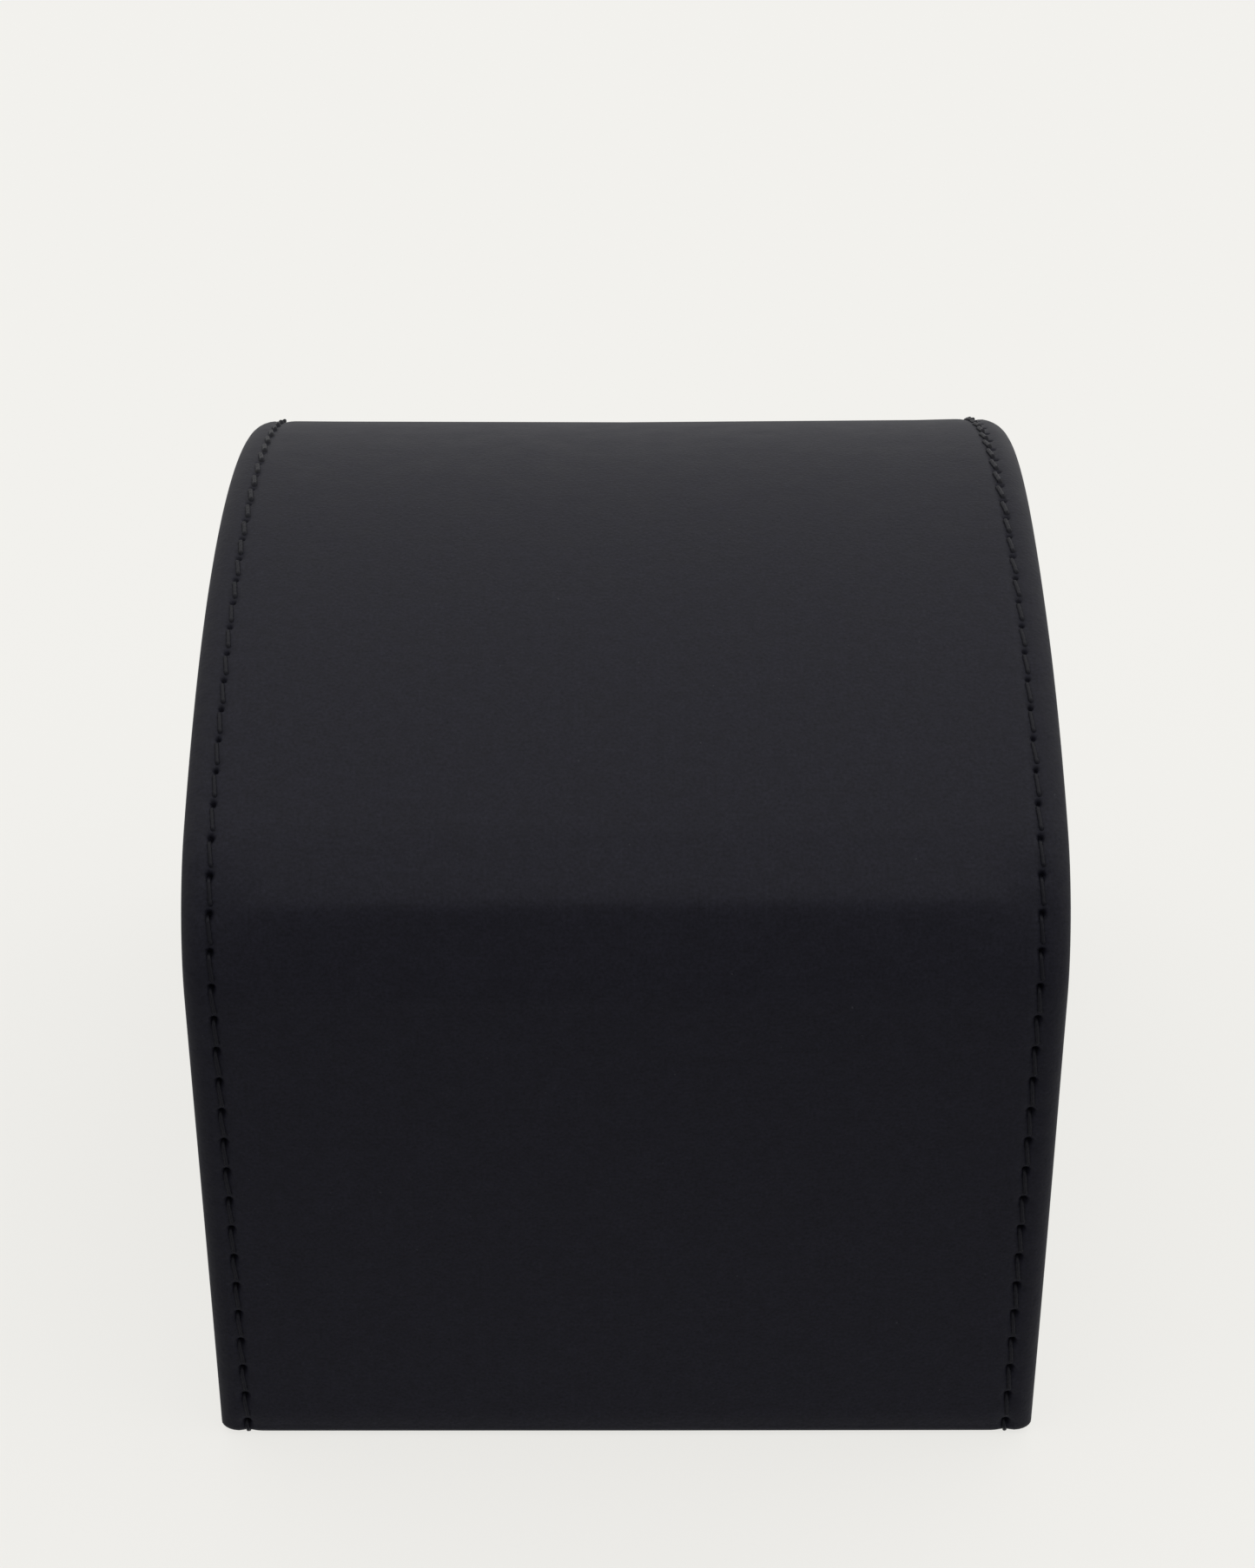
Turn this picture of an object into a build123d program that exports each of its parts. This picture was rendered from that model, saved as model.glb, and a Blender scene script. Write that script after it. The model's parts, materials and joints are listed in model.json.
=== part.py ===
"""Lidded leather travel dice cup: a dome-topped box of leather over board, lined with suede.

Frame: millimetres, +Z up, origin at the centre of the underside. X is the width, the hinged rear wall
faces -Y and the closing side faces +Y. Every shell is a strip that follows the same side outline, a
D shape with a flat base, two upright walls, two round shoulders and a shallow dome, at some inset.
"""

from build123d import *
import math
import os

# Overall shape
WIDTH = 85.0
WALL_TOP = 56.7  # height where the upright walls end and the shoulders begin
SHOULDER_RADIUS = 16.7
SHOULDER_TURN = 63.6  # degrees that a shoulder turns before the dome takes over
DOME_RADIUS = 93.8
BASE_FOLD_RADIUS = 1.3
EDGE_ROUNDING = 1.0  # on the long edges of the leather band

# Layers, from the outside in
LEATHER = 1.2
HEM = 1.0  # leather turned under along the band's two edges
BOARD = 2.0
SUEDE = 1.0
BASE_PAD = 2.0
SIDE_RECESS = 0.8  # the side panels sit this far inside the band's edges

# Parting of lid and cup
PARTING = 66.0
RIM_GAP = 0.4
RIM_CAP = 0.8  # leather over the board's edge at each rim
CUP_FACING = 8.0  # leather inside the cup's mouth, below the cap
LID_FACING = 3.4  # leather inside the lid's mouth, above the cap
FOLD_HALF_ARC = 1.6  # half the length of flexible leather at the hinge
BASE_SEAM = 42.0  # where the front leather meets the base leather, underneath

# Closure magnets, hidden in the boards of the front rims
MAGNET_LENGTH = 12.0
MAGNET_HEIGHT = 4.0
MAGNET_THICKNESS = 1.6
MAGNET_SPREAD = 40.0
MAGNET_POCKET_PLAY = 0.1
CUP_MAGNET_TURN = 25.0  # degrees round the front shoulder
LID_MAGNET_TURN = 58.0

# Seams
STITCH_PITCH = 3.786
STITCH_LENGTH = 3.0
STITCH_WIDTH = 0.6
STITCH_THICKNESS = 0.25
STITCH_INSET = 2.7  # from the band's edge
CHANNEL_WIDTH = 0.8
CHANNEL_DEPTH = 0.4
SHARP_TURN = 0.5  # radians within one stitch

# Worked out from the dimensions above
half_width = WIDTH / 2
turn = math.radians(SHOULDER_TURN)
half_depth = SHOULDER_RADIUS * (1 - math.cos(turn)) + DOME_RADIUS * math.cos(turn)
height = WALL_TOP + SHOULDER_RADIUS * math.sin(turn) + DOME_RADIUS * (1 - math.sin(turn))
shoulder_y = half_depth - SHOULDER_RADIUS
fold_turn = math.degrees(math.asin((PARTING - WALL_TOP) / SHOULDER_RADIUS))
fold_half_turn = math.degrees(FOLD_HALF_ARC / SHOULDER_RADIUS)
cup_top = PARTING - RIM_GAP / 2
lid_bottom = PARTING + RIM_GAP / 2
hem_inset = LEATHER + HEM
board_inset = LEATHER + BOARD
lining_inset = board_inset + SUEDE
side_leather_x = half_width - SIDE_RECESS
side_board_x = side_leather_x - LEATHER
side_lining_x = side_board_x - BOARD
inner_x = side_lining_x - SUEDE
pad_top = board_inset + BASE_PAD
cup_board_top = cup_top - RIM_CAP
lid_board_bottom = lid_bottom + RIM_CAP
cup_lining_top = cup_board_top - CUP_FACING
lid_lining_bottom = lid_board_bottom + LID_FACING
seam_x = half_width - STITCH_INSET
OUT = 200.0  # past everything, for trimming windows
TURN_BELOW_FOLD = -20.0  # turns up the rear shoulder, on either side of the hinge's fold
TURN_ABOVE_FOLD = 80.0


def outline(inset, mode=Mode.ADD):
    """The box's side outline, this far inside the leather's outer surface, in a YZ sketch."""
    edge = half_depth - inset
    crown = 2 * (90 - SHOULDER_TURN)
    with BuildLine() as loop:
        rear = Line((-edge, inset), (-edge, WALL_TOP))
        rear_shoulder = JernArc(rear @ 1, rear % 1, SHOULDER_RADIUS - inset, -SHOULDER_TURN)
        dome = JernArc(rear_shoulder @ 1, rear_shoulder % 1, DOME_RADIUS - inset, -crown)
        front_shoulder = JernArc(dome @ 1, dome % 1, SHOULDER_RADIUS - inset, -SHOULDER_TURN)
        front = Line(front_shoulder @ 1, (edge, inset))
        Line(front @ 1, rear @ 0)
    face = make_face(loop.edges(), mode=Mode.PRIVATE)
    if inset < BASE_FOLD_RADIUS:
        folds = face.vertices().group_by(Axis.Y)[0]
        face = face.face().fillet_2d(BASE_FOLD_RADIUS - inset, folds)
    add(face, mode=mode)


def shoulder_point(turned, radius, side=-1):
    """A point of the YZ sketch on a shoulder, turned this many degrees up from its wall."""
    angle = math.radians(turned)
    return (side * (shoulder_y + radius * math.cos(angle)), WALL_TOP + radius * math.sin(angle))


def window(low_y, high_y, low_z, high_z, mode=Mode.INTERSECT):
    """Trims a YZ sketch to a rectangle."""
    with Locations(((low_y + high_y) / 2, (low_z + high_z) / 2)):
        Rectangle(high_y - low_y, high_z - low_z, mode=mode)


def fold_window(low_turn, high_turn, mode):
    """A wedge of the YZ sketch about the rear shoulder's centre, between two turns up from the wall."""
    centre = shoulder_point(0, 0)
    Polygon(
        centre,
        shoulder_point(low_turn, OUT),
        shoulder_point(high_turn, OUT),
        align=None,
        mode=mode,
    )


def strip(outer_inset, inner_inset, from_x, to_x, trim):
    """A layer of the walls between two insets and two places across the width, cut by trim()."""
    with BuildSketch(Plane.YZ.offset(from_x)) as profile:
        outline(outer_inset)
        if inner_inset:
            outline(inner_inset, mode=Mode.SUBTRACT)
        trim()
    extrude(profile.sketch, amount=to_x - from_x)


def below(top, bottom=-OUT):
    """A trim that keeps the heights from bottom to top."""
    return lambda: window(-OUT, OUT, bottom, top)


def above(bottom):
    """A trim that keeps everything above a height."""
    return lambda: window(-OUT, OUT, bottom, OUT)


def finish(node, name):
    """Labels a finished piece and writes it."""
    node.part.label = name
    export_step(node.part, f"parts/{name}.step")


os.makedirs("parts", exist_ok=True)

# ---- the leather band, before it is cut into its pieces --------------------------------------------
with BuildPart() as band:
    with BuildSketch(Plane.YZ.offset(-half_width)):
        outline(0)
    extrude(amount=WIDTH)
    rims = band.edges().group_by(Axis.X)
    fillet(rims[0] + rims[-1], EDGE_ROUNDING)
    with BuildSketch(Plane.YZ.offset(-half_width)):
        outline(hem_inset)
    extrude(amount=WIDTH, mode=Mode.SUBTRACT)
    with BuildSketch(Plane.YZ.offset(-inner_x)):
        outline(LEATHER)
    extrude(amount=2 * inner_x, mode=Mode.SUBTRACT)
    for seam in (-seam_x, seam_x):
        with BuildSketch(Plane.YZ.offset(seam - CHANNEL_WIDTH / 2)):
            window(-OUT, OUT, -OUT, OUT, mode=Mode.ADD)
            outline(CHANNEL_DEPTH, mode=Mode.SUBTRACT)
        extrude(amount=CHANNEL_WIDTH, mode=Mode.SUBTRACT)


def band_piece(trim):
    """Keeps the part of the band inside a trimmed YZ sketch."""
    add(band.part)
    with BuildSketch(Plane.YZ.offset(-half_width)) as profile:
        window(-OUT, OUT, -OUT, OUT, mode=Mode.ADD)
        trim()
    extrude(profile.sketch, amount=WIDTH, mode=Mode.INTERSECT)


def rear_and_base():
    window(-OUT, BASE_SEAM, -OUT, cup_top)
    fold_window(fold_turn - fold_half_turn, TURN_ABOVE_FOLD, Mode.SUBTRACT)


def front_wall():
    window(BASE_SEAM, OUT, -OUT, cup_top)


def over_the_lid():
    window(-OUT, OUT, PARTING, OUT)
    fold_window(TURN_BELOW_FOLD, fold_turn + fold_half_turn, Mode.SUBTRACT)
    window(0, OUT, -OUT, lid_bottom, mode=Mode.SUBTRACT)


def at_the_fold():
    fold_window(fold_turn - fold_half_turn, fold_turn + fold_half_turn, Mode.INTERSECT)


with BuildPart() as rear_base_leather:
    band_piece(rear_and_base)

with BuildPart() as front_leather:
    band_piece(front_wall)

with BuildPart() as hinge_fold_leather:
    band_piece(at_the_fold)

with BuildPart() as lid_leather:
    band_piece(over_the_lid)

finish(rear_base_leather, "rear_base_leather")
finish(front_leather, "front_leather")
finish(hinge_fold_leather, "hinge_fold_leather")
finish(lid_leather, "lid_leather")


# ---- side panels: leather, board and suede, in the cup and in the lid ------------------------------
for side, sign in (("left", -1), ("right", 1)):
    for layer, outer_x, inner, cup_trim, lid_trim in (
        ("leather", side_leather_x, side_board_x, below(cup_top), above(lid_bottom)),
        ("board", side_board_x, side_lining_x, below(cup_board_top), above(lid_board_bottom)),
        ("lining", side_lining_x, inner_x, below(cup_lining_top), above(lid_lining_bottom)),
    ):
        low_x, high_x = sorted((sign * outer_x, sign * inner))
        for body, trim in (("cup", cup_trim), ("lid", lid_trim)):
            with BuildPart() as side_panel:
                strip(hem_inset, 0, low_x, high_x, trim)
            finish(side_panel, f"{body}_{side}_{layer}")


# ---- boards under the band -------------------------------------------------------------------------
def magnet_plane(turned, x):
    """A plane in the middle of the front board, its normal out of the box."""
    y, z = shoulder_point(turned, SHOULDER_RADIUS - LEATHER - BOARD / 2, side=1)
    angle = math.radians(turned)
    normal = (0, math.cos(angle), math.sin(angle))
    return Plane(origin=(x, y, z), x_dir=(1, 0, 0), z_dir=normal)


def magnet_bars(turned, play, thickness, mode=Mode.ADD):
    """The pair of bars, or with some play their pockets."""
    for x in (-MAGNET_SPREAD / 2, MAGNET_SPREAD / 2):
        with BuildSketch(magnet_plane(turned, x)) as bar:
            Rectangle(MAGNET_LENGTH + 2 * play, MAGNET_HEIGHT + 2 * play)
        extrude(bar.sketch, amount=thickness / 2, both=True, mode=mode)


with BuildPart() as rear_board:
    strip(LEATHER, board_inset, -inner_x, inner_x, lambda: window(-OUT, 0, board_inset, cup_board_top))

with BuildPart() as front_board:
    strip(LEATHER, board_inset, -inner_x, inner_x, lambda: window(0, OUT, board_inset, cup_board_top))
    magnet_bars(CUP_MAGNET_TURN, MAGNET_POCKET_PLAY, 2 * BOARD, mode=Mode.SUBTRACT)

with BuildPart() as base_board:
    strip(LEATHER, 0, -inner_x, inner_x, below(board_inset))

with BuildPart() as lid_dome_board:
    strip(LEATHER, board_inset, -inner_x, inner_x, above(lid_board_bottom))
    magnet_bars(LID_MAGNET_TURN, MAGNET_POCKET_PLAY, 2 * BOARD, mode=Mode.SUBTRACT)

with BuildPart() as cup_magnets:
    magnet_bars(CUP_MAGNET_TURN, 0, MAGNET_THICKNESS)

with BuildPart() as lid_magnets:
    magnet_bars(LID_MAGNET_TURN, 0, MAGNET_THICKNESS)

finish(rear_board, "rear_board")
finish(front_board, "front_board")
finish(base_board, "base_board")
finish(lid_dome_board, "lid_dome_board")
finish(cup_magnets, "cup_magnets")
finish(lid_magnets, "lid_magnets")

# ---- suede linings and the padded floor ------------------------------------------------------------
with BuildPart() as rear_lining:
    strip(board_inset, lining_inset, -inner_x, inner_x, lambda: window(-OUT, 0, pad_top, cup_lining_top))

with BuildPart() as front_lining:
    strip(board_inset, lining_inset, -inner_x, inner_x, lambda: window(0, OUT, pad_top, cup_lining_top))

with BuildPart() as base_pad:
    strip(board_inset, 0, -inner_x, inner_x, below(pad_top))

with BuildPart() as lid_dome_lining:
    strip(board_inset, lining_inset, -inner_x, inner_x, above(lid_lining_bottom))

finish(rear_lining, "rear_lining")
finish(front_lining, "front_lining")
finish(base_pad, "base_pad")
finish(lid_dome_lining, "lid_dome_lining")


# ---- leather facings round the two rims ------------------------------------------------------------
def facing(cap_low, cap_high, wall_low, wall_high):
    """A cap over the boards' edges and a strip down the inside of all four walls, in one piece."""
    strip(LEATHER, lining_inset, -inner_x, inner_x, below(cap_high, cap_low))
    strip(board_inset, lining_inset, -inner_x, inner_x, below(wall_high, wall_low))
    for sign in (-1, 1):
        for reach, low, high in (
            (side_board_x, cap_low, cap_high),
            (side_lining_x, wall_low, wall_high),
        ):
            low_x, high_x = sorted((sign * inner_x, sign * reach))
            strip(hem_inset, 0, low_x, high_x, below(high, low))


with BuildPart() as cup_rim_facing:
    facing(cup_board_top, cup_top, cup_lining_top, cup_board_top)

with BuildPart() as lid_rim_facing:
    facing(lid_bottom, lid_board_bottom, lid_board_bottom, lid_lining_bottom)

finish(cup_rim_facing, "cup_rim_facing")
finish(lid_rim_facing, "lid_rim_facing")


# ---- seam threads ----------------------------------------------------------------------------------
# Stitches lie in the seam channels. Arc length runs up the rear wall from the base fold, over the lid
# and down the front, with the hinge fold as the place that the count starts from.
wall_run = WALL_TOP - BASE_FOLD_RADIUS
shoulder_run = SHOULDER_RADIUS * turn
dome_run = DOME_RADIUS * (math.pi - 2 * turn)
base_run = 2 * (half_depth - BASE_FOLD_RADIUS)
fold_run = BASE_FOLD_RADIUS * math.pi / 2
loop_runs = [
    ("line", wall_run, 0),
    ("arc", shoulder_run, SHOULDER_RADIUS),
    ("arc", dome_run, DOME_RADIUS),
    ("arc", shoulder_run, SHOULDER_RADIUS),
    ("line", wall_run, 0),
    ("arc", fold_run, BASE_FOLD_RADIUS),
    ("line", base_run, 0),
    ("arc", fold_run, BASE_FOLD_RADIUS),
]
loop_length = sum(run for kind, run, radius in loop_runs)
fold_arc = wall_run + math.radians(fold_turn) * SHOULDER_RADIUS


def on_loop(arc):
    """The (y, z) point, and the turn in radians from straight up, at an arc length round the outline."""
    y, z, heading = -half_depth, BASE_FOLD_RADIUS, 0.0
    left = arc % loop_length
    for kind, run, radius in loop_runs:
        step = min(left, run)
        if kind == "line":
            y += step * math.sin(heading)
            z += step * math.cos(heading)
        else:
            swing = step / radius
            y += radius * (math.cos(heading) - math.cos(heading + swing))
            z += radius * (math.sin(heading + swing) - math.sin(heading))
            heading += swing
        left -= step
        if left <= 0:
            break
    return y, z, heading


def stitches(seam, first, last):
    """Short lengths of thread in the channel at seam, from one arc length to another, but not round
    the base folds, where the thread goes under the leather."""
    inside = (STITCH_PITCH - STITCH_LENGTH) / 2
    count = math.floor((last - first - 2 * inside) / STITCH_PITCH)
    for number in range(count):
        middle = first + inside + (number + 0.5) * STITCH_PITCH
        start_heading = on_loop(middle - STITCH_LENGTH / 2)[2]
        end_heading = on_loop(middle + STITCH_LENGTH / 2)[2]
        if end_heading - start_heading > SHARP_TURN:
            continue
        y, z, heading = on_loop(middle)
        outward = (0, -math.cos(heading), math.sin(heading))
        depth = CHANNEL_DEPTH / 2
        origin = (seam, y - depth * outward[1], z - depth * outward[2])
        with BuildSketch(Plane(origin=origin, x_dir=(1, 0, 0), z_dir=outward)) as stitch:
            Rectangle(STITCH_WIDTH, STITCH_LENGTH)
        extrude(stitch.sketch, amount=STITCH_THICKNESS / 2, both=True)


front_run = math.radians(SHOULDER_TURN - fold_turn) * SHOULDER_RADIUS  # round the lid's front shoulder
lid_front_arc = wall_run + shoulder_run + dome_run + front_run
for side, seam in (("left", -seam_x), ("right", seam_x)):
    with BuildPart() as cup_thread:
        stitches(seam, lid_front_arc + RIM_GAP, loop_length + fold_arc - FOLD_HALF_ARC)
    with BuildPart() as lid_thread:
        stitches(seam, fold_arc + FOLD_HALF_ARC, lid_front_arc - RIM_GAP)
    finish(cup_thread, f"cup_{side}_thread")
    finish(lid_thread, f"lid_{side}_thread")

# Leather hinge axis, in the middle of the fold's thickness
hinge_y, hinge_z = shoulder_point(fold_turn, SHOULDER_RADIUS - LEATHER / 2)
print("height", round(height, 2), "depth", round(2 * half_depth, 2), "hinge", hinge_y, hinge_z)
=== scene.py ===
"""Looks for the lidded leather dice cup: leather band with its seams, side panels, rims, suede inside."""

import json
import math

import bmesh
import bpy
import numpy as np
from mathutils import Matrix, Vector


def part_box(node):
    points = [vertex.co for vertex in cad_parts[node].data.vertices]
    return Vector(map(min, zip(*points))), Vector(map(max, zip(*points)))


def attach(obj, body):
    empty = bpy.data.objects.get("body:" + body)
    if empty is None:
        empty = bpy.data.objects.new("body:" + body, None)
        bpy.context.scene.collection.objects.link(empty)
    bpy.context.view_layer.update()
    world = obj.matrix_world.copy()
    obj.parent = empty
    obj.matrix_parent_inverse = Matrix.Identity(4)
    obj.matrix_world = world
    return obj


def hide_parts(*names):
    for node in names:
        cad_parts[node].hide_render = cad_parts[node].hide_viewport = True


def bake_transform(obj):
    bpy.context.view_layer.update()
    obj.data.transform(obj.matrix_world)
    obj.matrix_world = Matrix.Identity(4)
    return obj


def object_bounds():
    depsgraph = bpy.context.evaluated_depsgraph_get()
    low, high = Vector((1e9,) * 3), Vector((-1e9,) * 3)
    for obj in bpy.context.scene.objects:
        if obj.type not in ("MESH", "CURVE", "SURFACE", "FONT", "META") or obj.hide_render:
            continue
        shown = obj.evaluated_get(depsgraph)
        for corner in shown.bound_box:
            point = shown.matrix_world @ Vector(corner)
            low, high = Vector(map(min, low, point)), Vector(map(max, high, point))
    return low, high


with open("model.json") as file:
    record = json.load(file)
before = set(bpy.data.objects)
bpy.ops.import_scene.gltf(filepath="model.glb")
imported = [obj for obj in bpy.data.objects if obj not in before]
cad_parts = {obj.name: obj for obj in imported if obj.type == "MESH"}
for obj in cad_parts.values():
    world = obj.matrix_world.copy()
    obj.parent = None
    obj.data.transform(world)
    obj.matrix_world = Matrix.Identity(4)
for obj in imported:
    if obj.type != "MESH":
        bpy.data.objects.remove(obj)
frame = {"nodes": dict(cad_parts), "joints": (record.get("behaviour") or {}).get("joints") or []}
cad_box = [list(corner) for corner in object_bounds()]

MM = 0.001

# ---- sizes read from the frame ---------------------------------------------------------------------
half_width = cad_box[1][0]
half_depth = cad_box[1][1]
height = cad_box[1][2]
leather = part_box("base_board")[0].z
board_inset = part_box("base_board")[1].z
pad_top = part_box("base_pad")[1].z
hem_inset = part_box("cup_left_leather")[0].z
lining_inset = half_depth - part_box("front_lining")[0].y
cup_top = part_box("cup_rim_facing")[1].z
facing_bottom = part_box("cup_rim_facing")[0].z
lid_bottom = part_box("lid_rim_facing")[0].z
lid_facing_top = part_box("lid_rim_facing")[1].z
side_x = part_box("cup_right_leather")[1].x
side_board_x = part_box("cup_right_leather")[0].x
side_lining_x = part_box("cup_right_lining")[1].x
inner_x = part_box("cup_right_lining")[0].x
hinge = Vector(frame["joints"][0]["pos_m"])

# ---- the side outline: upright walls, round shoulders, shallow dome, crisp base folds ---------------
# Arc lengths run from the rear wall's foot up over the lid, down the front and back under the base.
SHOULDER_RADIUS = 16.7 * MM
SHOULDER_TURN = math.radians(63.6)
BASE_FOLD_RADIUS = 1.3 * MM
dome_radius = (half_depth - SHOULDER_RADIUS * (1 - math.cos(SHOULDER_TURN))) / math.cos(SHOULDER_TURN)
wall_top = (
    height - SHOULDER_RADIUS * math.sin(SHOULDER_TURN) - dome_radius * (1 - math.sin(SHOULDER_TURN))
)
wall_run = wall_top - BASE_FOLD_RADIUS
shoulder_run = SHOULDER_RADIUS * SHOULDER_TURN
dome_run = dome_radius * (math.pi - 2 * SHOULDER_TURN)
fold_run = BASE_FOLD_RADIUS * math.pi / 2
base_run = 2 * (half_depth - BASE_FOLD_RADIUS)
RUNS = [
    (wall_run, 0),
    (shoulder_run, SHOULDER_RADIUS),
    (dome_run, dome_radius),
    (shoulder_run, SHOULDER_RADIUS),
    (wall_run, 0),
    (fold_run, BASE_FOLD_RADIUS),
    (base_run, 0),
    (fold_run, BASE_FOLD_RADIUS),
]
loop_length = sum(run for run, radius in RUNS)


def on_outline(arc):
    """y, z and heading (0 is straight up, turning forward) at arc lengths from the rear wall's foot."""
    left = np.mod(arc, loop_length)
    y = np.full(left.shape, -half_depth)
    z = np.full(left.shape, BASE_FOLD_RADIUS)
    heading = np.zeros(left.shape)
    for run, radius in RUNS:
        step = np.clip(left, 0, run)
        if radius:
            swing = step / radius
            y = y + radius * (np.cos(heading) - np.cos(heading + swing))
            z = z + radius * (np.sin(heading + swing) - np.sin(heading))
            heading = heading + swing
        else:
            y = y + step * np.sin(heading)
            z = z + step * np.cos(heading)
        left = left - step
    return y, z, heading


def inside_outline(arc, inset):
    """y and z this far inside the outline, kept square in the base's corners."""
    y, z, heading = on_outline(arc)
    y = y + inset * np.cos(heading)
    z = z - inset * np.sin(heading)
    reach = half_depth - inset
    return np.clip(y, -reach, reach), np.maximum(z, inset)


def wall_y(z, inset):
    """How far forward the front wall reaches at height z, this far inside the outline."""
    radius = SHOULDER_RADIUS - inset
    rise = np.clip((z - wall_top) / radius, 0, 1)
    on_wall = half_depth - inset - radius * (1 - np.sqrt(1 - rise**2))
    crown = dome_radius - inset
    above = np.clip((z - (height - dome_radius)) / crown, -1, 1)
    on_dome = crown * np.sqrt(1 - above**2)
    shoulder_end = wall_top + radius * math.sin(SHOULDER_TURN)
    return np.where(z > shoulder_end, on_dome, on_wall)


def roof_z(y, inset):
    """The height of the outline's top at y, this far inside."""
    crown = dome_radius - inset
    on_dome = height - dome_radius + np.sqrt(np.maximum(crown**2 - y**2, 0))
    radius = SHOULDER_RADIUS - inset
    out = np.clip((np.abs(y) - (half_depth - SHOULDER_RADIUS)) / radius, 0, 1)
    on_shoulder = wall_top + radius * np.sqrt(1 - out**2)
    shoulder_end = half_depth - SHOULDER_RADIUS + radius * math.cos(SHOULDER_TURN)
    return np.where(np.abs(y) > shoulder_end, on_shoulder, on_dome)


fold_turn = math.asin(((cup_top + lid_bottom) / 2 - wall_top) / SHOULDER_RADIUS)
fold_arc = wall_run + fold_turn * SHOULDER_RADIUS
crown_run = wall_run + 2 * shoulder_run + dome_run
lid_lip_arc = crown_run - math.asin((lid_bottom - wall_top) / SHOULDER_RADIUS) * SHOULDER_RADIUS
cup_lip_arc = crown_run - math.asin((cup_top - wall_top) / SHOULDER_RADIUS) * SHOULDER_RADIUS
seam_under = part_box("front_leather")[0].y
base_seam_arc = loop_length - fold_run - (seam_under + half_depth - BASE_FOLD_RADIUS)


# ---- mesh helpers ----------------------------------------------------------------------------------
def smoothstep(t):
    t = np.clip(t, 0, 1)
    return t * t * (3 - 2 * t)


RIPPLE_OCTAVES = (1, 1.7, 2.9)
RIPPLE_PEAK = 1.9


def ripple(a, b, seed):
    """Smooth repeatable unevenness between about -1 and 1, from two coordinates in radians."""
    rng = np.random.default_rng(seed)
    total = np.zeros(np.broadcast(a, b).shape)
    for octave in RIPPLE_OCTAVES:
        angle, phase = rng.uniform(0, 2 * math.pi, 2)
        total = total + np.sin(octave * (a * math.cos(angle) + b * math.sin(angle)) + phase) / octave
    return total / RIPPLE_PEAK


def new_mesh(name, points, faces, flat, edge=None):
    """A smooth-shaded object with its flat pattern coordinates, in mm, stored for the materials."""
    mesh = bpy.data.meshes.new(name)
    mesh.from_pydata(points.tolist(), [], faces)
    mesh.update()
    mesh.polygons.foreach_set("use_smooth", [True] * len(mesh.polygons))
    pattern = mesh.attributes.new("pattern", "FLOAT_VECTOR", "POINT")
    pattern.data.foreach_set("vector", (flat / MM).astype(np.float32).ravel())
    wear = mesh.attributes.new("edge_wear", "FLOAT", "POINT")
    values = np.zeros(len(points)) if edge is None else edge
    wear.data.foreach_set("value", values.astype(np.float32))
    piece = bpy.data.objects.new(name, mesh)
    bpy.context.scene.collection.objects.link(piece)
    return piece


def tube_faces(rows, columns, capped=True):
    """Quads of a rows by columns grid that closes on itself sideways, with a cap at each end."""
    j = np.arange(rows - 1)[:, None]
    i = np.arange(columns)[None, :]
    k = (i + 1) % columns
    quads = np.stack(
        [j * columns + i, j * columns + k, (j + 1) * columns + k, (j + 1) * columns + i], axis=-1
    )
    faces = quads.reshape(-1, 4).tolist()
    if capped:
        faces.append(list(range(columns))[::-1])
        faces.append(list(range((rows - 1) * columns, rows * columns)))
    return faces


def spaced(low, high, step):
    """Evenly spaced values from low to high, about a step apart."""
    return np.linspace(low, high, max(2, round((high - low) / step) + 1))


def rounded_ends(low, high, step, radius, count=5):
    """Row places from low to high with extra rows at both ends, and how far each is eased in."""
    turn = np.linspace(0, math.pi / 2, count)
    along = radius * (1 - np.cos(turn))
    ease = radius * (1 - np.sin(turn))
    middle = spaced(low + radius, high - radius, step)[1:-1]
    places = np.concatenate([low + along, middle, (high - along)[::-1]])
    eased = np.concatenate([ease, np.zeros(len(middle)), ease[::-1]])
    return places, eased


# ---- the leather band ------------------------------------------------------------------------------
STITCH_PITCH = 3.786 * MM
SEAM_INSET = 2.7 * MM
SEAM_PHASE = 65.05 * MM  # arc length of one hole
HOLE_LENGTH = 0.22 * MM
HOLE_TAIL = 0.55 * MM  # up the rear wall each hole is drawn out downwards, where its thread comes up
HOLE_WIDTH = 0.32 * MM
HOLE_NARROWING = 0.38  # share of the width that the holes lose beyond the hinge fold
HOLE_DEPTH = 1.0 * MM
VALLEY_DEPTH = 0.16 * MM
PUCKER = 0.1 * MM
PUCKER_LOSS = 0.8  # share of the puckers that is lost towards the lid's front
VALLEY_WIDTH = 0.75 * MM
EDGE_COLUMNS = 8
EDGE_REACH = 2.3 * MM  # the band's edge rounds over this far in from the side
EDGE_DROP = 1.2 * MM
EDGE_BULGE = 0.12 * MM
WAVER_SEED = 9
EDGE_WAVER = 0.04 * MM
WAVER_LENGTH = 14 * MM
EDGE_FLARE = 0.6 * MM  # the right edge runs out this far by the lid's lip, and back in below it
FLARE_START = 100 * MM
FLARE_RUN = 60 * MM
LIP_ROUNDING = 0.42 * MM
LIP_ROWS = 5
ROW_STEP = 0.2 * MM
BASE_STEP = 0.45 * MM
SEAM_STEP = 0.14 * MM
FIELD_STEP = 2.6 * MM
SEAM_FIELD = 0.8 * MM  # closely spaced columns run this far past each seam
WIDENING = np.array([0.25, 0.4, 0.6, 0.9, 1.3, 1.8]) * MM  # steps from there to the field's columns
HEM_SET_BACK = 0.12 * MM
HEM_CORNER = 0.55 * MM
HEM_EASE = 0.1 * MM
CREASE_REACH = 6.5 * MM  # the fold stands out from the shoulder this far each way
CREASE_SOFTNESS = 0.6 * MM
CREASE_TIP = 0.21 * MM  # the rounded ridge is raised again by this much
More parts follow.
